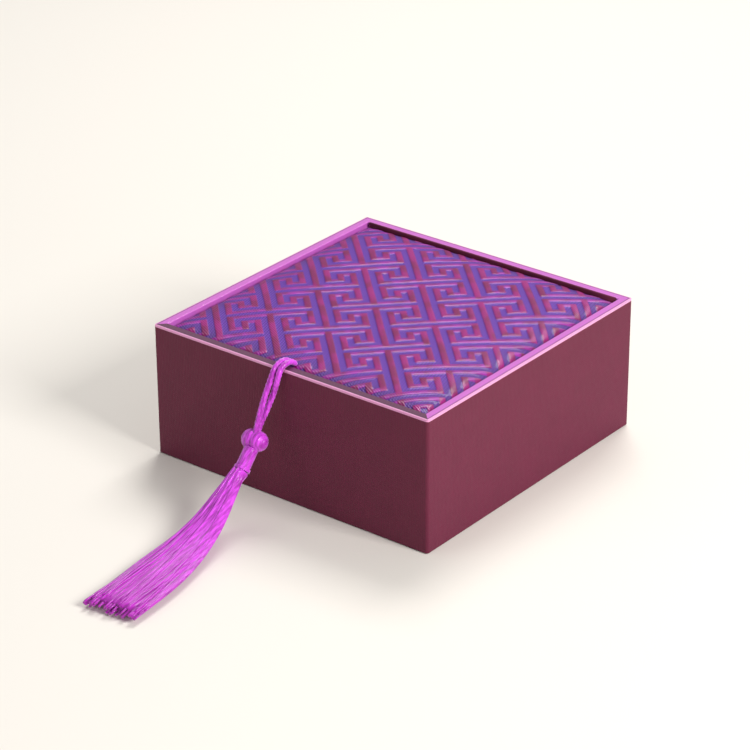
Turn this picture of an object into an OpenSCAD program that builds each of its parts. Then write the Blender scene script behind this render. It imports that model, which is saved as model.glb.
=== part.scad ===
// Keepsake box of cloth-covered board with an inset padded lid and a tassel.
// Millimetres, +Z up. The origin is the middle of the underside, the tassel
// hangs over the front wall at -Y, and +X is to the right of the tassel.

/* [Box] */
// Outside width, left to right
box_w = 100; // [80:1:140]
// Outside depth, front to back
box_d = 100; // [80:1:140]
// Height of the rim above the table
box_h = 42; // [36:1:60]

/* [Boards] */
// Thickness of the four wall boards
wall_board_t = 2.3; // [1.6:0.1:3.5]
// Thickness of the base board
base_board_t = 2.5; // [1.6:0.1:4]
// Thickness of the liner boards, whose top edge is the ledge for the lid
liner_board_t = 2; // [1.4:0.1:3]
// Thickness of the lid board
lid_board_t = 2; // [1.4:0.1:3]

/* [Cloth] */
// Thickness of the outer cover
cover_t = 0.4; // [0.3:0.05:0.6]
// Outer radius of the cover at the upright corners
cover_corner_r = 0.9; // [0.6:0.1:1.2]
// Width of the cover turned in under the base
cover_turn_in = 12; // [8:1:18]
// Thickness of the sheet glued under the base
sheet_t = 0.3; // [0.2:0.05:0.5]
// Distance from the box's edge to the sheet under the base
sheet_margin = 2; // [1.5:0.5:5]
// Thickness of the satin on the rim, the liner and the cushion
satin_t = 0.3; // [0.2:0.05:0.45]
// Depth of satin that shows on the outside of the walls
rim_lip = 0.7; // [0.5:0.1:1.2]
// Thickness of the brocade on the lid
brocade_t = 0.4; // [0.3:0.05:0.6]
// Width of the brocade turned in under the lid board
brocade_turn_in = 9; // [6:1:14]
// Thickness of the hinge cloth
hinge_cloth_t = 0.25; // [0.2:0.05:0.35]

/* [Lid] */
// Depth of the ledge below the rim
ledge_drop = 5; // [4.4:0.1:7]
// Gap between the lid and the front and side walls
lid_gap = 0.6; // [0.5:0.1:1]
// Gap between the lid and the back wall, bridged by the hinge cloth
hinge_gap = 0.8; // [0.8:0.1:1.2]
// Clearance under the closed lid
lid_rest_gap = 0.15; // [0.1:0.05:0.3]
// Thickness of the padding at the lid's edge
pad_edge_t = 0.3; // [0.2:0.1:0.6]
// Rise of the padding over its rounded shoulder
pad_shoulder_h = 1.2; // [0.8:0.1:1.6]
// Width of the padding's rounded shoulder
pad_shoulder_w = 4; // [3:0.5:6]
// Rise of the padding from the shoulder to the middle of the lid
pad_crown = 1.6; // [0.8:0.1:2.5]
// Thickness of the lining panel under the lid
panel_t = 0.4; // [0.3:0.05:0.6]
// Gap between the lining panel and the satin of the liner
panel_gap = 0.8; // [0.6:0.1:1.5]

/* [Cushion] */
// Gap between the cushion and the liner
cushion_gap = 0.4; // [0.2:0.1:1]
// Width of satin turned in under the cushion
cushion_turn_in = 8; // [5:1:12]
// Height of the cushion's side
cushion_side_h = 4.5; // [3:0.5:6]
// Rise of the cushion over its rounded shoulder
cushion_shoulder_h = 3; // [2:0.5:4]
// Width of the cushion's rounded shoulder
cushion_shoulder_w = 6; // [4:0.5:8]
// Rise of the cushion from the shoulder to its middle
cushion_crown = 3; // [1:0.5:4]

/* [Tassel] */
// Diameter of each of the two legs of the cord
cord_d = 1.8; // [1.2:0.1:1.8]
// Radius of the left lobe of the knot
left_lobe_r = 3.2; // [2.8:0.1:3.6]
// Radius of the right lobe of the knot
right_lobe_r = 3.05; // [2.8:0.05:3.6]
// Distance between the middles of the two lobes
lobe_spread = 2.1; // [1.6:0.1:2.6]
// Diameter of the binding round the neck
neck_d = 4.4; // [4:0.1:5]
// Length from the middle of the knot to the lower end of the binding
neck_reach = 9.6; // [8:0.1:10]
// Slope of the knot and neck below the horizontal
neck_slope = 42; // [36:1:48]
// Width of the skirt at its top
skirt_top_w = 4.8; // [4.4:0.1:5]
// Thickness of the skirt at its top
skirt_top_t = 4.8; // [4.4:0.1:5]
// Width of the skirt at its cut end
skirt_end_w = 18.5; // [12:0.5:22]
// Thickness of the skirt at its cut end
skirt_end_t = 3; // [2:0.2:3]
// Number of flutes round the skirt
skirt_flutes = 14; // [8:1:18]
// Depth of the flutes as a share of the skirt's size
flute_depth = 0.06; // [0.02:0.01:0.1]

/* [Hidden] */
$fn = 48;

// Half sizes from the outside in
half_w = box_w / 2;
half_d = box_d / 2;
wall_t = cover_t + wall_board_t + satin_t;
well_w = half_w - wall_t;
well_d = half_d - wall_t;
liner_w = well_w - liner_board_t;
liner_d = well_d - liner_board_t;

// Heights from the table up
board_z = sheet_t + cover_t;
floor_z = board_z + base_board_t;
wall_top_z = box_h - satin_t;
ledge_z = box_h - ledge_drop;
lid_z = ledge_z + lid_rest_gap;
lid_board_z = lid_z + brocade_t;
lid_foam_z = lid_board_z + lid_board_t;
lid_side_z = lid_foam_z + pad_edge_t + brocade_t;
cushion_foam_z = floor_z + satin_t;

// The lid's plan, a little further from the back wall than from the others
lid_hw = well_w - lid_gap;
lid_front = well_d - lid_gap;
lid_back = well_d - hinge_gap;
lid_hd = (lid_front + lid_back) / 2;
lid_mid_y = (lid_back - lid_front) / 2;

// The hinge axis lies in the fold of the hinge cloth, at the back wall's rim
fold_r = 0.35;
hinge_y = well_d - hinge_cloth_t - fold_r / 2;
hinge_z = box_h - 0.1;

// Rounded edges of the satin on the rim
rim_r = 0.3;

// Grid of a pad: shares of the shoulder and of the rest, from the edge inwards
shoulder_steps = [0, 0.06, 0.25, 0.55, 1];
inner_steps = [0.85, 0.6, 0.3];
crown_power = 6;

// Route of the cord's legs. Each point is x, the distance in front of the box,
// and the height above the rim, over the rim and down to the level of the knot.
left_rim_run = [
    [-2.9, -5.1, -0.1], [-2.9, -4.6, 0.5], [-2.9, -3.3, 1.2], [-2.9, -1.6, 1.5],
    [-2.9, 0.0, 1.2], [-3.0, 1.4, 0.3], [-3.1, 2.4, -1.3]
];
right_rim_run = [
    [-1.0, -5.1, -0.1], [-1.0, -4.6, 0.5], [-1.0, -3.3, 1.2], [-1.0, -1.6, 1.5],
    [-1.0, 0.0, 1.2], [-1.1, 1.2, 0.3], [-1.2, 2.0, -1.4]
];
// Lower points are x, the distance in front of the box, height above the table
left_drop = [[-3.6, 4.6, 36], [-4.0, 6.9, 30.5], [-4.1, 8.7, 25.5], [-4.2, 10.1, 20.8]];
right_drop = [[-2.3, 2.6, 36], [-3.6, 4.4, 30.5], [-4.7, 6.6, 25.5], [-4.9, 8.2, 20.8]];
cord_sides = 8;

// Middle of the knot: x, distance in front of the box, height above the table
knot_at = [-4.5, 8.9, 22.2];
knot_y = -half_d - knot_at.y;
lobe_steps = 8;
neck_dir = [0.08, -cos(neck_slope), -sin(neck_slope)];
neck_top_d = neck_d - 0.4;
neck_ring_d = neck_d + 0.5;
neck_ring_h = 0.8;

// Route of the skirt from the top of its round root to its cut end
skirt_route = [
    [-4.1, 18.4, 14.2], [-3.9, 20.6, 12.6], [-3.5, 24.0, 10.6], [-2.9, 28.6, 8.0],
    [-2.3, 33.5, 5.9], [-1.5, 40.5, 4.0], [-0.7, 48.0, 2.9], [0.5, 58.0, 2.4],
    [1.8, 69.0, 2.1], [2.9, 78.5, 1.9]
];
skirt_root_r = skirt_top_t / 2 - 0.4;
skirt_bulge = 1.5;
ragged_end = 1.2;

cloth_maroon = "#5c1c34";
satin_purple = "#c878d2";
lining_purple = "#8a4a9c";
brocade_purple = "#7a2c92";
board_grey = "#8d867c";
foam_white = "#e8e4dc";
tassel_magenta = "#c832d8";

// Plan of a slab with round corners
module rounded_plan(hw, hd, r) {
    square([2 * hw, 2 * (hd - r)], center = true);
    square([2 * (hw - r), 2 * hd], center = true);
    for (sx = [-1, 1], sy = [-1, 1])
        translate([sx * (hw - r), sy * (hd - r)]) circle(r);
}

// Slab with its lower face at z, between half sizes about the middle
module slab(hw, hd, z, h) {
    translate([-hw, -hd, z]) cube([2 * hw, 2 * hd, h]);
}

// Board that stands along the front (side -1) or back (side 1)
module cross_board(side, hw, outer_d, t, z, top_z) {
    translate([-hw, side > 0 ? outer_d - t : -outer_d, z])
        cube([2 * hw, t, top_z - z]);
}

// Board that stands along the left (side -1) or right (side 1)
module end_board(side, outer_w, hd, t, z, top_z) {
    translate([side > 0 ? outer_w - t : -outer_w, -hd, z])
        cube([t, 2 * hd, top_z - z]);
}

module underside_sheet() {
    color("#3c1624")
        linear_extrude(sheet_t)
        rounded_plan(half_w - sheet_margin, half_d - sheet_margin, cover_corner_r);
}

module base_board() {
    color(board_grey)
        slab(well_w + satin_t, well_d + satin_t, board_z, base_board_t);
}

module front_wall_board() {
    color(board_grey)
        cross_board(-1, half_w - cover_t, half_d - cover_t, wall_board_t, board_z, wall_top_z);
}

module back_wall_board() {
    color(board_grey)
        cross_board(1, half_w - cover_t, half_d - cover_t, wall_board_t, board_z, wall_top_z);
}

module left_wall_board() {
    color(board_grey)
        end_board(-1, half_w - cover_t, well_d + satin_t, wall_board_t, board_z, wall_top_z);
}

module right_wall_board() {
    color(board_grey)
        end_board(1, half_w - cover_t, well_d + satin_t, wall_board_t, board_z, wall_top_z);
}

// Cloth round the four walls, turned in under the base
module outer_cover() {
    color(cloth_maroon)
        difference() {
            translate([0, 0, sheet_t])
                linear_extrude(box_h - rim_lip - sheet_t)
                rounded_plan(half_w, half_d, cover_corner_r);
            slab(half_w - cover_t, half_d - cover_t, board_z, box_h);
            slab(half_w - cover_turn_in, half_d - cover_turn_in, 0, box_h);
        }
}

// Section of the rim satin, x inwards from the wall's outer face
module rim_section() {
    difference() {
        union() {
            translate([0, box_h - rim_lip]) square([wall_t, rim_lip - rim_r]);
            translate([rim_r, box_h - rim_r]) square([wall_t - 2 * rim_r, rim_r]);
            for (x = [rim_r, wall_t - rim_r])
                translate([x, box_h - rim_r]) circle(rim_r);
            translate([wall_t - satin_t, ledge_z]) square([satin_t, box_h - ledge_z - rim_r]);
        }
        translate([cover_t, 0]) square([wall_board_t, wall_top_z]);
    }
}

// Satin over one wall, mitred at both corners. The wall lies along X at -Y
// before it turns, with half its length and the half depth of the box there.
module rim_satin(turn, hl, hd) {
    color(satin_purple)
        intersection() {
            rotate(turn)
                intersection() {
                    translate([-hl, -hd, 0])
                        rotate([90, 0, 90])
                        linear_extrude(2 * hl)
                        rim_section();
                    translate([0, 0, 1])
                        linear_extrude(box_h + 1)
                        polygon([
                            [-hl, -hd], [hl, -hd],
                            [hl - wall_t, -hd + wall_t], [-hl + wall_t, -hd + wall_t]
                        ]);
                }
            linear_extrude(box_h + 1) rounded_plan(half_w, half_d, cover_corner_r);
        }
}

module front_rim_satin() { rim_satin(0, half_w, half_d); }

module back_rim_satin() { rim_satin(180, half_w, half_d); }

module left_rim_satin() { rim_satin(270, half_d, half_w); }

module right_rim_satin() { rim_satin(90, half_d, half_w); }

module front_liner_board() {
    color(board_grey)
        cross_board(-1, well_w + satin_t, well_d + satin_t, liner_board_t,
            floor_z, ledge_z - satin_t);
}

module back_liner_board() {
    color(board_grey)
        cross_board(1, well_w + satin_t, well_d + satin_t, liner_board_t,
            floor_z, ledge_z - satin_t);
}

module left_liner_board() {
    color(board_grey)
        end_board(-1, well_w + satin_t, liner_d + satin_t, liner_board_t,
            floor_z, ledge_z - satin_t);
}

module right_liner_board() {
    color(board_grey)
        end_board(1, well_w + satin_t, liner_d + satin_t, liner_board_t,
            floor_z, ledge_z - satin_t);
}

// Satin over the ledge and down the inside of the liner
module liner_satin() {
    color(lining_purple)
        difference() {
            union() {
                slab(well_w + satin_t, well_d + satin_t, ledge_z - satin_t, satin_t);
                slab(liner_w + satin_t, liner_d + satin_t, floor_z, ledge_z - floor_z);
            }
            slab(liner_w, liner_d, floor_z - 1, box_h);
        }
}

// Shares of a pad's half size at which its grid has lines, from -1 to 1
function pad_stops(half, w) =
    let (side = concat(
        [for (s = shoulder_steps) 1 - s * w / half],
        [for (s = inner_steps) s * (1 - w / half)]
    ))
    concat([for (s = side) -s], [0], [for (i = [len(side) - 1 : -1 : 0]) side[i]]);

// Height over the edge at shares u and v of the half sizes hw and hd
function shoulder(share, half, w) =
    let (d = min(1, (1 - abs(share)) * half / w)) sqrt(max(0, 1 - pow(1 - d, 2)));
function crown(share) = 1 - pow(abs(share), crown_power);
function pad_rise(u, v, hw, hd, w, rise, top) =
    rise * shoulder(u, hw, w) * shoulder(v, hd, w) + top * crown(u) * crown(v);

// The grid's points, row by row, and the indices round its border
function pad_grid(us, vs, hw, hd, w, rise, top, z, t) =
    [for (v = vs, u = us)
        [u * (hw - t), v * (hd - t), z - t + pad_rise(u, v, hw, hd, w, rise, top)]];
function border(n, m) = concat(
    [for (i = [0 : n - 2]) i],
    [for (j = [0 : m - 2]) j * n + n - 1],
    [for (i = [n - 1 : -1 : 1]) (m - 1) * n + i],
    [for (j = [m - 1 : -1 : 1]) j * n]
);
function grid_faces(n, m, first, flip) = [
    for (j = [0 : m - 2], i = [0 : n - 2], half = [0, 1])
        let (a = first + j * n + i, b = a + 1, c = a + n + 1, d = a + n,
             f = half == 0 ? [a, c, b] : [a, d, c])
        flip ? [f[2], f[1], f[0]] : f
];
// Faces between two loops of k points each
function band_faces(p, q) =
    let (k = len(p))
    [for (i = [0 : k - 1], half = [0, 1])
        let (j = (i + 1) % k)
        half == 0 ? [p[i], p[j], q[j]] : [p[i], q[j], q[i]]];

// Padding with a flat base at z and its border at side_z
module pad_core(hw, hd, w, rise, top, z, side_z, skin) {
    us = pad_stops(hw, w);
    vs = pad_stops(hd, w);
    n = len(us);
    m = len(vs);
    edge = border(n, m);
    grid = pad_grid(us, vs, hw, hd, w, rise, top, side_z, skin);
    k = len(edge);
    base = [for (i = edge) [grid[i].x, grid[i].y, z]];
    low = [for (i = [0 : k - 1]) n * m + i];
    middle = n * m + k;
    polyhedron(
        concat(grid, base, [[0, 0, z]]),
        concat(
            grid_faces(n, m, 0, false), band_faces(edge, low),
            [for (i = [0 : k - 1]) [low[i], low[(i + 1) % k], middle]]
        )
    );
}

// Cloth over that padding: top, sides and a border turned in below
module pad_skin(hw, hd, w, rise, top, z, side_z, skin, turn_in) {
    us = pad_stops(hw, w);
    vs = pad_stops(hd, w);
    n = len(us);
    m = len(vs);
    edge = border(n, m);
    k = len(edge);
    outer = pad_grid(us, vs, hw, hd, w, rise, top, side_z, 0);
    inner = pad_grid(us, vs, hw, hd, w, rise, top, side_z, skin);
    // A loop round the lid, in by d from the outer edge, at height h
    function loop(d, h) = [for (i = edge)
        [outer[i].x * (hw - d) / hw, outer[i].y * (hd - d) / hd, h]];
    function ids(first) = [for (i = [0 : k - 1]) first + i];
    first_loop = 2 * n * m;
    inner_edge = [for (i = edge) n * m + i];
    loops = [for (q = [0 : 3]) ids(first_loop + q * k)];
    polyhedron(
        concat(outer, inner,
            loop(0, z), loop(turn_in, z), loop(turn_in, z + skin), loop(skin, z + skin)),
        concat(
            grid_faces(n, m, 0, false), grid_faces(n, m, n * m, true),
            band_faces(edge, loops[0]), band_faces(loops[0], loops[1]),
            band_faces(loops[1], loops[2]), band_faces(loops[2], loops[3]),
            band_faces(loops[3], inner_edge)
        )
    );
}

module cushion_foam() {
    color(foam_white)
        pad_core(liner_w - cushion_gap, liner_d - cushion_gap, cushion_shoulder_w,
            cushion_shoulder_h, cushion_crown, cushion_foam_z,
            floor_z + cushion_side_h, satin_t);
}

module cushion_cover() {
    color(lining_purple)
        pad_skin(liner_w - cushion_gap, liner_d - cushion_gap, cushion_shoulder_w,
            cushion_shoulder_h, cushion_crown, floor_z,
            floor_z + cushion_side_h, satin_t, cushion_turn_in);
}

// The hinge cloth's part on the back wall, with its fold at the hinge axis
module hinge_cloth() {
    color(satin_purple)
        union() {
            translate([-lid_hw, well_d - hinge_cloth_t, ledge_z])
                cube([2 * lid_hw, hinge_cloth_t, hinge_z - ledge_z]);
            intersection() {
                translate([-lid_hw, hinge_y, hinge_z])
                    rotate([0, 90, 0]) cylinder(r = fold_r, h = 2 * lid_hw);
                translate([-half_w, 0, 0]) cube([box_w, well_d, box_h + fold_r]);
            }
        }
}

// Lining panel inside the brocade's turned-in border
module lid_panel() {
    color(lining_purple)
        translate([0, lid_mid_y, 0])
        union() {
            slab(liner_w - panel_gap, liner_d - panel_gap, lid_z - panel_t, panel_t);
            slab(lid_hw - brocade_turn_in, lid_hd - brocade_turn_in, lid_z, brocade_t);
        }
}

module lid_board() {
    color(board_grey)
        translate([0, lid_mid_y, 0])
        slab(lid_hw - brocade_t, lid_hd - brocade_t, lid_board_z, lid_board_t);
}

module lid_foam() {
    color(foam_white)
        translate([0, lid_mid_y, 0])
        pad_core(lid_hw, lid_hd, pad_shoulder_w, pad_shoulder_h, pad_crown,
            lid_foam_z, lid_side_z, brocade_t);
}

module brocade_cover() {
    color(brocade_purple)
        translate([0, lid_mid_y, 0])
        pad_skin(lid_hw, lid_hd, pad_shoulder_w, pad_shoulder_h, pad_crown,
            lid_z, lid_side_z, brocade_t, brocade_turn_in);
}

function unit(v) = v / norm(v);
function direction(pts, i) = unit(pts[min(i + 1, len(pts) - 1)] - pts[max(i - 1, 0)]);

// Ring of points round a route's point, half sizes a sideways and b upwards
function ring(p, dir, a, b, sides, flutes) =
    let (up = unit(cross([1, 0, 0], dir)), across = cross(dir, up))
    [for (k = [0 : sides - 1])
        let (t = 360 * k / sides, f = 1 - flutes * (k % 2))
        p + f * (a * cos(t) * across + b * sin(t) * up)];
function sweep_faces(rings, sides) = concat(
    [for (r = [0 : rings - 2], k = [0 : sides - 1], half = [0, 1])
        let (a = r * sides + k, b = r * sides + (k + 1) % sides)
        half == 0 ? [a, b, b + sides] : [a, b + sides, a + sides]],
    [[for (k = [sides - 1 : -1 : 0]) k]],
    [[for (k = [0 : sides - 1]) (rings - 1) * sides + k]]
);

// One leg of the cord, swept along its points
module cord_leg(rim_run, drop) {
    route = concat(
        [for (p = rim_run) [p.x, -half_d - p.y, box_h + p.z]],
        [for (p = drop) [p.x, -half_d - p.y, p.z]]
    );
    points = [for (i = [0 : len(route) - 1])
        each ring(route[i], direction(route, i), cord_d / 2, cord_d / 2, cord_sides, 0)];
    color(tassel_magenta)
        polyhedron(points, sweep_faces(len(route), cord_sides));
}

module cord_left_leg() { cord_leg(left_rim_run, left_drop); }

module cord_right_leg() { cord_leg(right_rim_run, right_drop); }

// Outline of the knot's two lobes, as radius and place along its axis
function knot_outline() =
    let (half = lobe_spread / 2, l = left_lobe_r, r = right_lobe_r,
        meet = (l * l - r * r) / (2 * lobe_spread),
        a = acos((meet + half) / l), b = acos((meet - half) / r))
    concat(
        [for (i = [0 : lobe_steps])
            let (t = 180 - (180 - a) * i / lobe_steps) [l * sin(t), l * cos(t) - half]],
        [for (i = [1 : lobe_steps])
            let (t = b * (1 - i / lobe_steps)) [r * sin(t), r * cos(t) + half]]
    );

// The two lobes of the knot, side by side
module knot_lobes() {
    translate([knot_at.x, knot_y, knot_at.z])
        rotate([0, 90, 0]) rotate_extrude() polygon(knot_outline());
}

module tassel_knot() {
    color(tassel_magenta) knot_lobes();
}

// Binding from the knot down to the skirt, with a thicker ring at its end
module neck_binding() {
    color(tassel_magenta)
        difference() {
            translate([knot_at.x, knot_y, knot_at.z])
                rotate([0, acos(unit(neck_dir).z), atan2(neck_dir.y, neck_dir.x)])
                rotate_extrude()
                polygon([
                    [0, 0], [neck_top_d / 2, 0],
                    [neck_d / 2, neck_reach - neck_ring_h],
                    [neck_ring_d / 2, neck_reach - neck_ring_h],
                    [neck_ring_d / 2, neck_reach], [0, neck_reach]
                ]);
            knot_lobes();
        }
}

// Skirt of yarn, a fluted shape that flattens towards its cut end
function skirt_w(s) = skirt_top_w + (skirt_end_w - skirt_top_w) * (1 - pow(1 - s, 2.2));
function skirt_t(s) = skirt_end_t + (skirt_top_t - skirt_end_t) * pow(1 - s, 1.2)
    + skirt_bulge * sin(180 * s) * (1 - s);
module tassel_skirt() {
    route = [for (p = skirt_route) [p.x, -half_d - p.y, p.z]];
    last = len(route) - 1;
    sides = 2 * skirt_flutes;
    // Share of the skirt's length at each point of its route
    function share(i) = (skirt_route[i].y - skirt_route[0].y)
        / (skirt_route[last].y - skirt_route[0].y);
    body = [for (i = [0 : last])
        each ring(route[i], direction(route, i), skirt_w(share(i)) / 2,
            skirt_t(share(i)) / 2, sides, flute_depth)];
    // The cut end is uneven
    ends = [for (k = [0 : sides - 1])
        let (p = body[last * sides + k])
        p + direction(route, last) * ragged_end * (0.5 + 0.5 * sin(k * 137))];
    points = concat([for (i = [0 : last * sides - 1]) body[i]], ends,
        [route[last] + direction(route, last) * ragged_end / 2]);
    tip = (last + 1) * sides;
    faces = sweep_faces(last + 1, sides);
    color(tassel_magenta) {
        polyhedron(points, concat(
            [for (i = [0 : len(faces) - 2]) faces[i]],
            [for (k = [0 : sides - 1]) [last * sides + k, last * sides + (k + 1) % sides, tip]]
        ));
        translate(route[0]) sphere(skirt_root_r);
    }
}

underside_sheet();
base_board();
front_wall_board();
back_wall_board();
left_wall_board();
right_wall_board();
outer_cover();
front_rim_satin();
back_rim_satin();
left_rim_satin();
right_rim_satin();
front_liner_board();
back_liner_board();
left_liner_board();
right_liner_board();
liner_satin();
cushion_foam();
cushion_cover();
hinge_cloth();
lid_panel();
lid_board();
lid_foam();
brocade_cover();
cord_left_leg();
cord_right_leg();
tassel_knot();
neck_binding();
tassel_skirt();
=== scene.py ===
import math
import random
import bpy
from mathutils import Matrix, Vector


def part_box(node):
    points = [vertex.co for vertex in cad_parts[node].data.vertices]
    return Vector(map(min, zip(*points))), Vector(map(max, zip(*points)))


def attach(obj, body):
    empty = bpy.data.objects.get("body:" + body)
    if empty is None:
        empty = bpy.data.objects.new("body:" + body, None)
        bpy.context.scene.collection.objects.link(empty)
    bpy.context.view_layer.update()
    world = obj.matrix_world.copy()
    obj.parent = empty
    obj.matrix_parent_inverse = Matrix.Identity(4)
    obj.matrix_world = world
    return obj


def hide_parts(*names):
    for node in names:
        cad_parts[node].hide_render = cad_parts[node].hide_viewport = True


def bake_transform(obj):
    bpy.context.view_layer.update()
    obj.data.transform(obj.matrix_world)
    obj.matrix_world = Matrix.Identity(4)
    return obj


bl_info = {
    "name": "Brocade Keepsake Box",
    "version": (1, 0, 0),
    "blender": (4, 5, 0),
    "location": "View3D > Sidebar > Keepsake Box",
    "description": "Builds a square keepsake box with a padded brocade lid and a tassel",
    "category": "Add Mesh",
}

import bmesh
import bpy
import numpy as np
from bpy.props import FloatProperty, FloatVectorProperty, IntProperty, PointerProperty
from mathutils import Matrix, Vector

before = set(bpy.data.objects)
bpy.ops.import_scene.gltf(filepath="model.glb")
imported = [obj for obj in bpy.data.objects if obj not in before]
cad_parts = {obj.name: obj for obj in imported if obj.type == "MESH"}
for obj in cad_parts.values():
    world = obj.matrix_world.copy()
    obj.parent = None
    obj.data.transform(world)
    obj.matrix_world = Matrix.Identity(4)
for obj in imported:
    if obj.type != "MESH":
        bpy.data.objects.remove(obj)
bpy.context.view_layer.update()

# Millimetres are used throughout, and turned to metres where a mesh is made
MM = 0.001
BODY_BASE, BODY_LID, BODY_HEAD, BODY_SKIRT = "base", "lid", "tassel_head", "skirt"

# The cord's two legs and the skirt's centre line, in millimetres
LEFT_LEG = [
    (-2.9, -44.9, 41.9), (-2.9, -45.4, 42.5), (-2.9, -46.7, 43.2), (-2.9, -48.4, 43.5),
    (-2.9, -50.0, 43.2), (-3.0, -51.4, 42.3), (-3.1, -52.4, 40.7), (-3.6, -54.6, 36.0),
    (-4.0, -56.9, 30.5), (-4.1, -58.7, 25.5), (-4.2, -60.1, 20.8),
]
RIGHT_LEG = [
    (-1.0, -44.9, 41.9), (-1.0, -45.4, 42.5), (-1.0, -46.7, 43.2), (-1.0, -48.4, 43.5),
    (-1.0, -50.0, 43.2), (-1.1, -51.2, 42.3), (-1.2, -52.0, 40.6), (-2.3, -52.6, 36.0),
    (-3.6, -54.4, 30.5), (-4.7, -56.6, 25.5), (-4.9, -58.2, 20.8),
]
SKIRT_ROUTE = [
    (-4.1, -68.4, 14.2), (-3.9, -70.6, 12.6), (-3.5, -74.0, 10.6), (-2.9, -78.6, 8.0),
    (-2.3, -83.5, 5.9), (-1.5, -90.5, 4.0), (-0.7, -98.0, 2.9), (0.5, -108.0, 2.4),
    (1.8, -119.0, 2.1), (2.9, -128.5, 1.9),
]
KNOT_MIDDLE = (-4.5, -58.9, 22.2)
KNOT_RADII = (3.2, 3.05)
KNOT_APART = 2.1
NECK_END = (-3.73, -66.0, 15.8)

# Cord: radius, how deep its three strands cut in, points along it and round it
CORD_RADIUS = 0.9
CORD_STRANDS = 3
STRAND_DEPTH = 0.2
CORD_RINGS = 90
CORD_SIDES = 24

# Knot: points from end to end and round, number and depth of its ridges
KNOT_ROWS = 40
KNOT_COLUMNS = 64
KNOT_RIDGES = 9
RIDGE_DEPTH = 0.05

# Neck: points along it, radius of the binding and of its end ring, rise of each turn
NECK_RINGS = 130
NECK_RADIUS = 2.05
NECK_END_RADIUS = 2.35
NECK_END_SHARE = 0.86
NECK_TURN_RISE = 0.13
NECK_TURN_RINGS = 7
NECK_SIDES = 28

# Skirt: rings, width and thickness at its top and its cut end, bulge, locks of strands
SKIRT_RINGS = 26
SKIRT_TOP = (4.6, 4.6)
SKIRT_END = (18.2, 2.8)
SKIRT_BULGE = 1.5
SKIRT_LOCKS = 22
SKIRT_SWAY = 0.55
STRAND_SIDES = 6
CORE_SIDES = 24

# Padded pieces: height of the side, shoulder's width and rise, crown
LID_PAD = (40.25, 4.0, 1.2, 1.6)
CUSHION_PAD = (7.7, 6.0, 3.0, 3.0)
CROWN_POWER = 6
SHOULDER_STEPS = 14
LID_STEPS = 116
CUSHION_STEPS = 34
# Width and height of the brocade's turn-in under the lid
LID_TURN_IN = (9.0, 0.38)

# Camera that matches the photograph
CAMERA_PLACE = (0.47005, -0.60581, 0.40080)
CAMERA_BACK = (0.5549, -0.7037, 0.4438)
CAMERA_RIGHT = (0.7852, 0.6192, 0.0)
CAMERA_ROLL = -0.28
CAMERA_LENS = 138.67

# Half of the fret's repeat, in units of line spacing
FRET_FOLD = 4.0
# How far the weave wanders, in millimetres
FRET_WANDER = 0.5
# Bars of a quarter of the fret's repeat: middle and half size, in units of line spacing
ACROSS_BARS = [  # along the first diagonal's lines
    (0.0, 1.75, 0.0, 1.75), (4.0, 2.25, 0.0, 1.75), (1.0, 1.5, 0.0, 1.0),
    (2.0, 2.0, 0.0, 0.5), (3.0, 2.5, 0.0, 1.0),
]
ALONG_BARS = [  # along the second diagonal's lines
    (1.5, 3.5, 1.5, 0.0), (2.5, 0.5, 1.5, 0.0), (1.5, 2.5, 0.5, 0.0), (2.5, 1.5, 0.5, 0.0),
]


def srgb(r, g, b):
    """Linear colour from 8-bit display values."""
    return tuple((c / 255) ** 2.2 for c in (r, g, b))


class Wire:
    """A socket of a shader's node tree that can be used in sums."""

    def __init__(self, tree, socket):
        self.tree, self.socket = tree, socket

    def join(self, target):
        self.tree.links.new(self.socket, target)

    def node(self, kind, inputs=(), output=0, **settings):
        """Adds a node, feeds its inputs by name or number, and gives one of its outputs."""
        made = self.tree.nodes.new(kind)
        for key, value in settings.items():
            setattr(made, key, value)
        for key, value in dict(inputs).items():
            if isinstance(value, Wire):
                value.join(made.inputs[key])
            else:
                made.inputs[key].default_value = value
        return Wire(self.tree, made.outputs[output])

    def math(self, operation, *values):
        return self.node("ShaderNodeMath", enumerate(values), operation=operation)

    def __add__(self, other):
        return self.math("ADD", self, other)

    def __sub__(self, other):
        return self.math("SUBTRACT", self, other)

    def __rsub__(self, other):
        return self.math("SUBTRACT", other, self)

    def __mul__(self, other):
        return self.math("MULTIPLY", self, other)

    def __truediv__(self, other):
        return self.math("DIVIDE", self, other)

    def __abs__(self):
        return self.math("ABSOLUTE", self)

    __radd__ = __add__
    __rmul__ = __mul__

    def low(self, other):
        return self.math("MINIMUM", self, other)

    def high(self, other):
        return self.math("MAXIMUM", self, other)

    def fold(self, reach):
        """Up to reach and back again, over and over."""
        return self.math("PINGPONG", self, reach)

    def wave(self, pitch):
        """A sine of this length, in the same unit."""
        return self.math("SINE", self * (2 * math.pi / pitch))

    def step(self, start, end):
        """0 before start, 1 after end, smooth between them."""
        return self.node("ShaderNodeMapRange", {0: self, 1: start, 2: end, 3: 0.0, 4: 1.0},
                         interpolation_type="SMOOTHSTEP")

    def tint(self, a, b):
        """Colour a where this is 0, b where it is 1."""
        a, b = (c if isinstance(c, Wire) else (*c, 1.0) for c in (a, b))
        return self.node("ShaderNodeMix", {0: self, 6: a, 7: b}, 2, data_type="RGBA")


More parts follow.
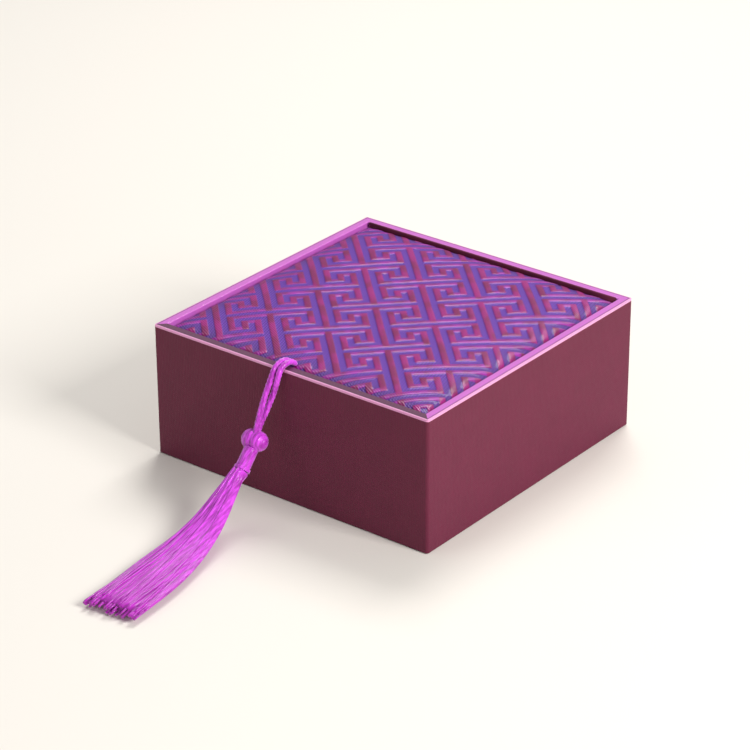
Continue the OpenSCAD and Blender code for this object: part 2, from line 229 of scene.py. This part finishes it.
def material(name, rough, coat=0.0, sheen=0.0):
    """A new material, its shader node and its place as three wires in millimetres."""
    mat = bpy.data.materials.new(name)
    mat.use_nodes = True
    tree = mat.node_tree
    shader = tree.nodes["Principled BSDF"]
    shader.inputs["Roughness"].default_value = rough
    shader.inputs["Coat Weight"].default_value = coat
    shader.inputs["Sheen Weight"].default_value = sheen
    coords = tree.nodes.new("ShaderNodeTexCoord")
    split = tree.nodes.new("ShaderNodeSeparateXYZ")
    tree.links.new(coords.outputs["Object"], split.inputs[0])
    place = [Wire(tree, split.outputs[i]) * (1 / MM) for i in range(3)]
    return mat, shader, place


def bump(shader, height, distance, strength=1.0):
    """Feeds a height in shares of distance, in millimetres, to the shader's normal."""
    height.node("ShaderNodeBump", {"Height": height, "Distance": distance * MM,
                                   "Strength": strength}).join(shader.inputs["Normal"])


def noise(place, scale, detail=2.0):
    """Cloudy noise, with scale in millimetres."""
    x, y, z = place
    where = x.node("ShaderNodeCombineXYZ", {0: x / scale, 1: y / scale, 2: z / scale})
    return x.node("ShaderNodeTexNoise", {"Vector": where, "Scale": 1.0, "Detail": detail})


def weave_material(name, dark, light, pitch, rough, sheen=0.0, depth=0.05):
    """Cloth with crossing threads."""
    mat, shader, place = material(name, rough, sheen=sheen)
    x, y, z = place
    level = ((x + y).wave(pitch) * z.wave(pitch) + x.wave(pitch) * y.wave(pitch)) * 0.5
    cloud = noise(place, 6.0)
    shade = (level * 0.3 + cloud * 0.35 + 0.2).step(0.0, 0.8)
    shade.tint(dark, light).join(shader.inputs["Base Color"])
    bump(shader, level + noise(place, 1.2) * 1.5, depth)
    return mat


def satin_material(name, dark, light, rough, coat=0.25):
    """Smooth satin with faint long threads and a soft cloud of shade."""
    mat, shader, place = material(name, rough, coat=coat, sheen=0.2)
    x, y, z = place
    cloud = noise(place, 9.0)
    cloud.step(0.3, 0.7).tint(dark, light).join(shader.inputs["Base Color"])
    bump(shader, (x + y + z * 0.7).wave(0.5) * 0.3 + cloud * 2.0, 0.12)
    return mat


def rim_material(name, inner, line, edge, rough):
    """Satin over a rim, with a painted highlight on its rolled outer edge and a thin painted shadow
    line beside it.
    """
    mat, shader, place = material(name, rough, coat=0.3, sheen=0.1)
    x, y, z = place
    out = abs(x).high(abs(y))
    cloud = noise(place, 5.0)
    colour = (cloud * 0.5).tint(inner, tuple(c * 1.25 for c in inner))
    # Painted shadow: a thin dark line just inside the outer edge, where the satin rolls over
    colour = (out.step(49.05, 49.2) * (1.0 - out.step(49.4, 49.55))).tint(colour, line)
    # Painted highlight: the rolled outer edge is painted light, where it catches the lamps
    out.step(49.45, 49.6).tint(colour, edge).join(shader.inputs["Base Color"])
    bump(shader, (x + y).wave(0.55) * 0.25 + noise(place, 7.0) * 2.0, 0.12)
    return mat


def plain_material(name, dark, light, rough):
    """Board or paper with a fine grain."""
    mat, shader, place = material(name, rough)
    noise(place, 1.5, 4.0).step(0.3, 0.7).tint(dark, light).join(shader.inputs["Base Color"])
    bump(shader, noise(place, 0.8, 3.0), 0.1)
    return mat


def brocade_material(lid):
    """Fret woven into a twill ground, with one set of bars painted lighter as a painted highlight
    on their raised edges.
    """
    mat, shader, place = material("brocade", 0.42, coat=0.18, sheen=0.0)
    x, y, z = place
    half = math.sqrt(0.5)
    p, q = (x + y) * half, (y - x) * half
    warp = noise(place, 14.0) - 0.5
    i = ((p - lid.fret_p0 + warp * FRET_WANDER) / lid.fret_p).fold(FRET_FOLD)
    j = ((q - lid.fret_q0 + warp * FRET_WANDER) / lid.fret_q).fold(FRET_FOLD)

    def cover(bars):
        distance = None
        for ci, cj, hi, hj in bars:
            box = (abs(i - ci) - (hi + lid.fret_line)).high(abs(j - cj) - (hj + lid.fret_line))
            distance = box if distance is None else distance.low(box)
        return 1.0 - distance.step(-0.03, 0.05)

    across, along = cover(ACROSS_BARS), cover(ALONG_BARS)
    figure = across.high(along)
    threads = (p * 0.9 + q * 0.35).wave(0.62)
    twill = (x * 0.8 + y * 0.2).wave(0.7) * 0.5 + 0.5
    # Painted shade: near the lid's edges the ground is mixed towards a dull dark purple, for the
    # walls' shadow on the pad's sloping edge
    edge = abs(x).high(abs(y)).step(38.0, 46.0)
    ground = (twill * 0.6 + noise(place, 0.7) * 0.5).step(0.2, 0.9).tint(
        srgb(64, 22, 122), srgb(106, 42, 164))
    ground = (edge * 0.55).tint(ground, srgb(70, 34, 96))
    magenta = noise(place, 5.0).step(0.35, 0.65).tint(srgb(118, 2, 80), srgb(148, 10, 112))
    # Painted highlight: the bars along the second diagonal get a lighter magenta, for light
    # catching their raised edges
    painted_lit_magenta = noise(place, 3.0).step(0.3, 0.7).tint(srgb(120, 10, 104), srgb(150, 34, 150))
    colour = across.tint(ground, magenta)
    colour = (along * (1.0 - across)).tint(colour, painted_lit_magenta)
    lit = colour.node("ShaderNodeVectorMath", {0: colour, 1: (1.12, 1.12, 1.12)},
                      operation="MULTIPLY")
    (threads * 0.5 + 0.5).step(0.0, 1.0).tint(colour, lit).join(shader.inputs["Base Color"])
    (0.5 - figure * 0.14).join(shader.inputs["Roughness"])
    bump(shader, figure * 1.2 + threads * 0.35 + twill * (1.0 - figure) * 0.5, 0.12)
    return mat


def yarn_material(name="tassel_yarn"):
    """Silky yarn, deeper in colour towards the skirt's cut end."""
    mat, shader, place = material(name, 0.38, coat=0.15, sheen=0.35)
    x, y, z = place
    fibre = noise([x * 3.0, y * 0.25, z * 0.6], 1.6, 3.0)
    end = (0.0 - y).step(70.0, 128.0)
    light = end.tint(srgb(226, 70, 236), srgb(190, 22, 190))
    fibre.step(0.25, 0.7).tint(srgb(150, 6, 150), light).join(shader.inputs["Base Color"])
    bump(shader, fibre, 0.12)
    return mat


def mesh_object(name, points, faces, mats, smooth=True):
    """A new object at the origin from points in millimetres."""
    mesh = bpy.data.meshes.new(name)
    mesh.from_pydata([tuple(c * MM for c in p) for p in points], [], faces)
    mesh.validate()
    mesh.polygons.foreach_set("use_smooth", [smooth] * len(mesh.polygons))
    for mat in mats:
        mesh.materials.append(mat)
    mesh.update()
    made = bpy.data.objects.new(name, mesh)
    bpy.context.scene.collection.objects.link(made)
    return made


def spline(points, count):
    """count points on a smooth curve through these, evenly spaced."""
    known = np.array(points, float)
    padded = np.vstack([2 * known[0] - known[1], known, 2 * known[-1] - known[-2]])
    fine = []
    for k in range(len(known) - 1):
        a, b, c, d = padded[k:k + 4]
        for t in np.linspace(0, 1, 16, endpoint=False):
            fine.append(0.5 * (2 * b + (c - a) * t + (2 * a - 5 * b + 4 * c - d) * t ** 2
                               + (3 * b - a - 3 * c + d) * t ** 3))
    fine = np.array(fine + [known[-1]])
    run = np.concatenate([[0], np.cumsum(np.linalg.norm(np.diff(fine, axis=0), axis=1))])
    goal = np.linspace(0, run[-1], count)
    return np.stack([np.interp(goal, run, fine[:, i]) for i in range(3)], axis=1)


def frames(path):
    """Direction, across and up at each point of a path."""
    along = np.gradient(path, axis=0)
    along /= np.linalg.norm(along, axis=1)[:, None]
    up = np.cross(np.tile([1.0, 0, 0], (len(path), 1)), along)
    up /= np.linalg.norm(up, axis=1)[:, None]
    return along, np.cross(along, up), up


def tube(path, radius, sides):
    """Points and faces of a closed tube; radius gives a value for ring and angle."""
    _, across, up = frames(path)
    points, faces = [], []
    for r, middle in enumerate(path):
        for k in range(sides):
            t = 2 * math.pi * k / sides
            points.append(middle + radius(r, t) * (math.cos(t) * across[r] + math.sin(t) * up[r]))
    for r in range(len(path) - 1):
        for k in range(sides):
            a, b = r * sides + k, r * sides + (k + 1) % sides
            faces.append((a, b, b + sides, a + sides))
    last = (len(path) - 1) * sides
    faces.append(tuple(range(sides - 1, -1, -1)))
    faces.append(tuple(last + k for k in range(sides)))
    return points, faces


def merge(parts):
    """Points and faces of several meshes as one."""
    points, faces = [], []
    for p, f in parts:
        faces += [tuple(i + len(points) for i in face) for face in f]
        points += list(p)
    return points, faces


def outward(points, faces, name, mats):
    """The object, with every face turned outward."""
    made = mesh_object(name, points, faces, mats)
    work = bmesh.new()
    work.from_mesh(made.data)
    bmesh.ops.recalc_face_normals(work, faces=work.faces)
    work.to_mesh(made.data)
    work.free()
    return made


def pad(low, high, side_z, shoulder, rise, crown, steps, relief, turn=None):
    """Points and faces of a closed pad: crowned top, straight sides, flat underside."""
    mid = [(a + b) / 2 for a, b in zip(low, high)]
    hw, hd = (high[0] - low[0]) / 2, (high[1] - low[1]) / 2
    near = [1 - (shoulder / hw) * (1 - math.sin(math.pi / 2 * k / SHOULDER_STEPS))
            for k in range(SHOULDER_STEPS + 1)]
    inner = list(np.linspace(0, 1 - shoulder / hw, steps))
    side = inner[:-1] + near
    stops = [-s for s in reversed(side[1:])] + side
    n = len(stops)

    def arch(share, half):
        d = min(1.0, (1 - abs(share)) * half / shoulder)
        return math.sqrt(max(0.0, 1 - (1 - d) ** 2))

    points = []
    for v in stops:
        for u in stops:
            z = side_z + rise * arch(u, hw) * arch(v, hd)
            z += crown * (1 - abs(u) ** CROWN_POWER) * (1 - abs(v) ** CROWN_POWER)
            x, y = mid[0] + u * hw, mid[1] + v * hd
            # The relief fades out over the outer quarter of the shoulder
            fade = min(1.0, 4 * (1 - max(abs(u), abs(v))) * hw / shoulder)
            points.append((x, y, z + relief(x, y) * fade))
    faces = [(j * n + i, j * n + i + 1, (j + 1) * n + i + 1, (j + 1) * n + i)
             for j in range(n - 1) for i in range(n - 1)]
    rim = ([i for i in range(n)] + [j * n + n - 1 for j in range(1, n)]
           + [(n - 1) * n + i for i in range(n - 2, -1, -1)] + [j * n for j in range(n - 2, 0, -1)])
    rings = [(0.0, side_z - 0.35 * (side_z - low[2])), (0.0, low[2] + 0.45), (0.12, low[2] + 0.12),
             (0.5, low[2])]
    if turn:
        width, height = turn
        rings += [(width - 0.2, low[2]), (width, low[2] + 0.1), (width, low[2] + height)]
    above = rim
    for inset, z in rings:
        ring = []
        for index in rim:
            x, y = points[index][0] - mid[0], points[index][1] - mid[1]
            ring.append(len(points))
            points.append((mid[0] + x * (1 - inset / hw), mid[1] + y * (1 - inset / hd), z))
        count = len(rim)
        faces += [(above[k], ring[k], ring[(k + 1) % count], above[(k + 1) % count])
                  for k in range(count)]
        above = ring
    faces.append(tuple(reversed(above)))
    return points, faces


def fret_height(lid):
    """Function of x and y that gives the woven figure's height, in millimetres."""
    def fold(value):
        return FRET_FOLD - abs(value % (2 * FRET_FOLD) - FRET_FOLD)

    def height(x, y):
        i = fold(((x + y) * math.sqrt(0.5) - lid.fret_p0) / lid.fret_p)
        j = fold(((y - x) * math.sqrt(0.5) - lid.fret_q0) / lid.fret_q)
        near = min(max(abs(i - ci) - hi, abs(j - cj) - hj)
                   for ci, cj, hi, hj in ACROSS_BARS + ALONG_BARS) - lid.fret_line
        swell = 0.06 * math.sin(x / 7 + 1.3) * math.sin(y / 9 + 0.4)
        return lid.fret_rise * min(1.0, max(0.0, 0.5 - near / 0.12)) + swell
    return height


def box_mm(node):
    """Lowest and highest corner of one of the frame's nodes, in millimetres."""
    return [[c / MM for c in corner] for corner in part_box(node)]


class KeepsakeLid(bpy.types.PropertyGroup):
    """Woven figure of the lid"""

    fret_p: FloatProperty(name="Line spacing, first diagonal", default=3.87, min=2.0, max=8.0,
                          description="Spacing of the fret's lines in millimetres")
    fret_q: FloatProperty(name="Line spacing, second diagonal", default=3.6, min=2.0, max=8.0,
                          description="Spacing of the fret's crossing lines in millimetres")
    fret_p0: FloatProperty(name="Figure place, first diagonal", default=-5.8,
                           description="Place of a long bar's middle in millimetres")
    fret_q0: FloatProperty(name="Figure place, second diagonal", default=-12.7,
                           description="Place of a long bar's middle in millimetres")
    fret_line: FloatProperty(name="Line half width", default=0.24, min=0.1, max=0.4,
                             description="Half the width of a line as a share of the spacing")
    fret_rise: FloatProperty(name="Figure height", default=0.22, min=0.0, max=0.5,
                             description="How far the figure stands proud in millimetres")


class KeepsakeTassel(bpy.types.PropertyGroup):
    """Cord and tassel"""

    strands: IntProperty(name="Strands", default=260, min=40, max=600,
                         description="Number of yarn strands in the skirt")
    strand: FloatProperty(name="Strand thickness", default=0.62, min=0.2, max=1.5,
                          description="Thickness of one strand in millimetres")
    twist: FloatProperty(name="Cord twist", default=4.2, min=1.0, max=12.0,
                         description="Length of one turn of the cord in millimetres")
    seed: IntProperty(name="Seed", default=7, description="Seed of the strands' places")


class KeepsakeCloth(bpy.types.PropertyGroup):
    """Colours of the cloth"""

    maroon: FloatVectorProperty(name="Outer cloth", subtype="COLOR", default=srgb(108, 12, 56),
                                description="Colour of the cloth on the walls")
    satin: FloatVectorProperty(name="Rim satin", subtype="COLOR", default=srgb(196, 98, 190),
                               description="Colour of the satin on the rim")


class KEEPSAKE_OT_cord(bpy.types.Operator):
    """Twisted cord legs with the knot and the bound neck"""

    bl_idname = "keepsake.cord"
    bl_label = "Cord and Knot"

    def execute(self, context):
        tassel = context.scene.keepsake_tassel
        yarn = yarn_material()
        for name, node, route in (("cord_leg_left", "cord_left_leg", LEFT_LEG),
                                  ("cord_leg_right", "cord_right_leg", RIGHT_LEG)):
            path = spline(route, CORD_RINGS)
            step = np.linalg.norm(path[1] - path[0])

            def radius(r, t, step=step):
                turn = 2 * math.pi * r * step / tassel.twist
                wave = abs(math.cos(CORD_STRANDS / 2 * (t - turn)))
                return CORD_RADIUS * (1 - STRAND_DEPTH + STRAND_DEPTH * wave)

            leg = outward(*tube(path, radius, CORD_SIDES), name, [yarn])
            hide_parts(node)
            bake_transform(leg)

        parts = []
        for side, size in zip((-1, 1), KNOT_RADII):
            middle = np.array(KNOT_MIDDLE) + [side * KNOT_APART / 2, 0, 0]
            points, faces, rows, cols = [], [], KNOT_ROWS, KNOT_COLUMNS
            for r in range(1, rows):
                for k in range(cols):
                    lat, lon = math.pi * r / rows, 2 * math.pi * k / cols
                    way = np.array([math.cos(lat), math.sin(lat) * math.cos(lon),
                                    math.sin(lat) * math.sin(lon)])
                    ridge = abs(math.sin(KNOT_RIDGES * lat + side * 0.9 * lon))
                    points.append(middle + way * size * (1 - RIDGE_DEPTH + RIDGE_DEPTH * ridge))
            for r in range(rows - 2):
                for k in range(cols):
                    a, b = r * cols + k, r * cols + (k + 1) % cols
                    faces.append((a, b, b + cols, a + cols))
            faces.append(tuple(range(cols)))
            faces.append(tuple((rows - 2) * cols + k for k in range(cols - 1, -1, -1)))
            parts.append((points, faces))
        knot = outward(*merge(parts), "yarn_knot", [yarn])
        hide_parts("tassel_knot")
        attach(knot, BODY_HEAD)

        start, end = np.array(KNOT_MIDDLE), np.array(NECK_END)
        path = np.linspace(start + (end - start) * 0.28, end, NECK_RINGS)
        last = NECK_RINGS - 1

        def bound(r, t):
            wide = NECK_END_RADIUS if r / last > NECK_END_SHARE else NECK_RADIUS
            turn = abs(math.sin(math.pi * r / NECK_TURN_RINGS + t / 2))
            return wide * (1 if 0 < r < last else 0.7) + NECK_TURN_RISE * turn

        neck = outward(*tube(path, bound, NECK_SIDES), "neck_winding", [yarn])
        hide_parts("neck_binding")
        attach(neck, BODY_HEAD)
        return {"FINISHED"}


class KEEPSAKE_OT_skirt(bpy.types.Operator):
    """Tassel's skirt of loose strands"""

    bl_idname = "keepsake.skirt"
    bl_label = "Tassel Skirt"

    def execute(self, context):
        tassel = context.scene.keepsake_tassel
        draw = random.Random(tassel.seed)
        rings = SKIRT_RINGS
        core = spline([NECK_END] + SKIRT_ROUTE, rings)
        _, across, up = frames(core)
        top_y, end_y = SKIRT_ROUTE[0][1], SKIRT_ROUTE[-1][1]
        share = np.clip((top_y - core[:, 1]) / (top_y - end_y), 0, 1)
        wide = SKIRT_TOP[0] + (SKIRT_END[0] - SKIRT_TOP[0]) * (1 - (1 - share) ** 2.2)
        thick = SKIRT_END[1] + (SKIRT_TOP[1] - SKIRT_END[1]) * (1 - share) ** 1.2
        thick = thick + SKIRT_BULGE * np.sin(math.pi * share) * (1 - share)
        parts = []
        locks = [(draw.uniform(-1, 1), draw.uniform(0, 2 * math.pi), draw.uniform(0.8, 1.6))
                 for _ in range(SKIRT_LOCKS)]
        for k in range(tassel.strands):
            spread = 2 * (k + draw.random()) / tassel.strands - 1
            level = draw.uniform(-1, 1) * math.sqrt(max(0.0, 1 - spread ** 2))
            _, phase, waves = locks[int((spread + 1) / 2 * (SKIRT_LOCKS - 0.01))]
            reach = draw.uniform(0.93, 1.015)
            size = tassel.strand / 2 * draw.uniform(0.8, 1.25)
            drift = draw.uniform(-0.6, 0.6)
            path = []
            for r in range(rings):
                s = share[r]
                sway = SKIRT_SWAY * s * math.sin(waves * 2 * math.pi * s + phase)
                sway += drift * s ** 2
                side = spread * wide[r] / 2 * 0.94 + sway
                lift = level * thick[r] / 2 * 0.86
                at = core[r] + across[r] * side + up[r] * lift
                at[2] = max(at[2], size + 0.08)
                path.append(at)
            keep = spline(path, rings + 4)
            keep = keep[:max(6, int(len(keep) * reach))] if reach < 1 else keep
            parts.append(tube(keep, lambda r, t, size=size: size, STRAND_SIDES))
        # A smooth core, so that no light shows between the strands
        filler, n = [], CORE_SIDES
        for r in range(rings - 1):
            for k in range(n):
                t = 2 * math.pi * k / n
                at = core[r] + across[r] * math.cos(t) * wide[r] * 0.44
                at = at + up[r] * math.sin(t) * thick[r] * 0.4
                at[2] = max(at[2], 0.3)
                filler.append(at)
        faces = [(r * n + k, r * n + (k + 1) % n, (r + 1) * n + (k + 1) % n, (r + 1) * n + k)
                 for r in range(rings - 2) for k in range(n)]
        faces += [tuple(range(n - 1, -1, -1)), tuple((rings - 2) * n + k for k in range(n))]
        parts.append((filler, faces))
        skirt = outward(*merge(parts), "skirt_strands", [yarn_material("skirt_yarn")])
        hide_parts("tassel_skirt")
        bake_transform(skirt)
        return {"FINISHED"}


class KEEPSAKE_OT_lid(bpy.types.Operator):
    """Padded brocade lid"""

    bl_idname = "keepsake.lid"
    bl_label = "Brocade Lid"

    def execute(self, context):
        lid = context.scene.keepsake_lid
        low, high = box_mm("brocade_cover")
        made = outward(*pad(low, high, *LID_PAD, LID_STEPS, fret_height(lid), turn=LID_TURN_IN),
                       "brocade_pad", [brocade_material(lid)])
        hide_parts("brocade_cover", "lid_foam")
        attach(made, BODY_LID)
        return {"FINISHED"}


class KEEPSAKE_OT_cushion(bpy.types.Operator):
    """Satin cushion on the floor of the box"""

    bl_idname = "keepsake.cushion"
    bl_label = "Floor Cushion"

    def execute(self, context):
        low, high = box_mm("cushion_cover")

        def soft(x, y):
            return 0.12 * math.sin(x / 6 + 0.5) * math.sin(y / 8 + 1.1) - 0.12

        satin = satin_material("cushion_satin", srgb(184, 108, 188), srgb(198, 122, 202), 0.4)
        made = outward(*pad(low, high, *CUSHION_PAD, CUSHION_STEPS, soft), "satin_cushion", [satin])
        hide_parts("cushion_cover", "cushion_foam")
        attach(made, BODY_BASE)
        return {"FINISHED"}


class KEEPSAKE_OT_hinge(bpy.types.Operator):
    """Cloth that joins the back wall to the lid"""

    bl_idname = "keepsake.hinge"
    bl_label = "Hinge Cloth"

    def execute(self, context):
        wall_y, lid_y, half_x, half_t, columns = 46.88, 46.3, 46.2, 0.07, 12
        arc = [math.pi * k / 8 for k in range(9)]
        middle, reach = (wall_y + lid_y) / 2, (wall_y - lid_y) / 2
        profile = ([(wall_y, z) for z in (37.1, 38.5, 40.0, 41.2)]
                   + [(middle + reach * math.cos(t), 41.9 + reach * math.sin(t)) for t in arc]
                   + [(lid_y, z) for z in (41.0, 40.0, 38.5, 37.25)])
        way = np.gradient(np.array(profile), axis=0)
        way /= np.linalg.norm(way, axis=1)[:, None]
        loop = [(y - half_t * b, z + half_t * a) for (y, z), (a, b) in zip(profile, way)]
        loop += [(y + half_t * b, z - half_t * a)
                 for (y, z), (a, b) in reversed(list(zip(profile, way)))]
        count = len(loop)
        points = [(x, y, z) for x in np.linspace(-half_x, half_x, columns) for y, z in loop]
        faces = [(c * count + k, c * count + (k + 1) % count, (c + 1) * count + (k + 1) % count,
                  (c + 1) * count + k) for c in range(columns - 1) for k in range(count)]
        last = (columns - 1) * count
        faces += [tuple(range(count)), tuple(last + k for k in range(count - 1, -1, -1))]
        cloth = outward(points, faces, "hinge_strip", [weave_material(
            "hinge_cloth", srgb(80, 18, 44), srgb(104, 26, 56), 0.6, 0.8)])
        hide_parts("hinge_cloth")
        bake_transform(cloth)
        return {"FINISHED"}


class KEEPSAKE_OT_finishes(bpy.types.Operator):
    """Cloth, satin, board and paper on the box's own parts"""

    bl_idname = "keepsake.finishes"
    bl_label = "Cloth and Board"

    def execute(self, context):
        cloth = context.scene.keepsake_cloth
        maroon, satin = tuple(cloth.maroon), tuple(cloth.satin)
        dim = tuple(c * 0.7 for c in maroon)
        outer = weave_material("outer_cloth", dim, maroon, 0.62, 0.7, sheen=0.04)
        # Painted highlight for the rims' rolled outer edges; the second colour in each rim below is
        # the painted shadow line beside it
        painted_edge_highlight = srgb(228, 150, 196)
        rim = rim_material("rim_satin", satin, tuple(c * 0.45 for c in satin), painted_edge_highlight, 0.34)
        # Painted shade: the front rim gets a darker copy of the rim satin, for the sheen that the
        # side rims catch and the front one does not
        shaded_front_rim = rim_material("front_rim_satin", srgb(86, 24, 66), srgb(60, 14, 44), painted_edge_highlight, 0.42)
        lining = satin_material("lining_satin", srgb(182, 104, 186), srgb(194, 118, 198), 0.42)
        board = plain_material("grey_board", srgb(140, 124, 104), srgb(178, 162, 138), 0.9)
        paper = plain_material("dark_paper", srgb(70, 22, 40), srgb(96, 32, 54), 0.85)
        for name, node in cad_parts.items():
            if name == "outer_cover":
                mat = outer
            elif name == "front_rim_satin":
                mat = shaded_front_rim
            elif name.endswith("rim_satin"):
                mat = rim
            elif name in ("liner_satin", "lid_panel"):
                mat = lining
            elif name == "underside_sheet":
                mat = paper
            elif name.endswith("board"):
                mat = board
            else:
                continue
            for slot in node.material_slots:
                slot.material = mat
        return {"FINISHED"}


class KEEPSAKE_OT_stage(bpy.types.Operator):
    """Pale floor, soft lamps and the camera"""

    bl_idname = "keepsake.stage"
    bl_label = "Stage"

    def execute(self, context):
        scene = context.scene
        scene.view_settings.view_transform = "Standard"
        mat = bpy.data.materials.new("floor")
        mat.use_nodes = True
        shader = mat.node_tree.nodes["Principled BSDF"]
        shader.inputs["Base Color"].default_value = (*srgb(232, 226, 216), 1)
        shader.inputs["Roughness"].default_value = 0.9
        size = 3000.0
        corners = [(-size, -size, 0), (size, -size, 0), (size, size, 0), (-size, size, 0)]
        floor = mesh_object("floor", corners, [(0, 1, 2, 3)], [mat], smooth=False)
        world = bpy.data.worlds.new("studio")
        scene.world = world
        world.use_nodes = True
        back = world.node_tree.nodes["Background"]
        back.inputs["Color"].default_value = (0.95, 0.96, 1.0, 1)
        back.inputs["Strength"].default_value = 0.36
        for name, place, power, width in (("key", (0.9, -0.05, 0.6), 10.5, 0.4),
                                          ("top", (-0.2, 0.5, 0.85), 6.0, 0.4),
                                          ("fill", (-0.5, -0.8, 0.5), 0.8, 0.5)):
            lamp = bpy.data.lights.new(name, "AREA")
            lamp.energy, lamp.size = power, width
            made = bpy.data.objects.new(name, lamp)
            made.location = place
            aim = Vector((0, 0, 0.02)) - Vector(place)
            made.rotation_euler = aim.to_track_quat("-Z", "Y").to_euler()
            scene.collection.objects.link(made)
        lens = bpy.data.cameras.new("camera")
        lens.lens, lens.sensor_width, lens.clip_start = CAMERA_LENS, 36.0, 0.01
        camera = bpy.data.objects.new("camera", lens)
        right, back_way = Vector(CAMERA_RIGHT).normalized(), Vector(CAMERA_BACK).normalized()
        turn = Matrix((right, back_way.cross(right), back_way)).transposed()
        turn = turn @ Matrix.Rotation(math.radians(CAMERA_ROLL), 3, "Z")
        camera.matrix_world = Matrix.Translation(CAMERA_PLACE) @ turn.to_4x4()
        scene.collection.objects.link(camera)
        scene.camera = camera
        return {"FINISHED"}


class KEEPSAKE_PT_panel(bpy.types.Panel):
    """Steps that build the box"""

    bl_label = "Keepsake Box"
    bl_idname = "KEEPSAKE_PT_panel"
    bl_space_type = "VIEW_3D"
    bl_region_type = "UI"
    bl_category = "Keepsake Box"

    def draw(self, context):
        for operator in OPERATORS:
            self.layout.operator(operator.bl_idname)
        for key in GROUPS:
            group = getattr(context.scene, key)
            for prop in group.__annotations__:
                self.layout.prop(group, prop)


GROUPS = {
    "keepsake_lid": KeepsakeLid,
    "keepsake_tassel": KeepsakeTassel,
    "keepsake_cloth": KeepsakeCloth,
}
OPERATORS = (KEEPSAKE_OT_stage, KEEPSAKE_OT_cord, KEEPSAKE_OT_skirt, KEEPSAKE_OT_lid,
             KEEPSAKE_OT_cushion, KEEPSAKE_OT_hinge, KEEPSAKE_OT_finishes)


def register():
    for cls in (*GROUPS.values(), *OPERATORS, KEEPSAKE_PT_panel):
        bpy.utils.register_class(cls)
    for key, cls in GROUPS.items():
        setattr(bpy.types.Scene, key, PointerProperty(type=cls))


def unregister():
    for key in GROUPS:
        delattr(bpy.types.Scene, key)
    for cls in reversed((*GROUPS.values(), *OPERATORS, KEEPSAKE_PT_panel)):
        bpy.utils.unregister_class(cls)


def main():
    register()
    bpy.ops.keepsake.stage()
    bpy.ops.keepsake.cord()
    bpy.ops.keepsake.skirt()
    bpy.ops.keepsake.lid()
    bpy.ops.keepsake.cushion()
    bpy.ops.keepsake.hinge()
    bpy.ops.keepsake.finishes()


if __name__ == "__main__":
    main()
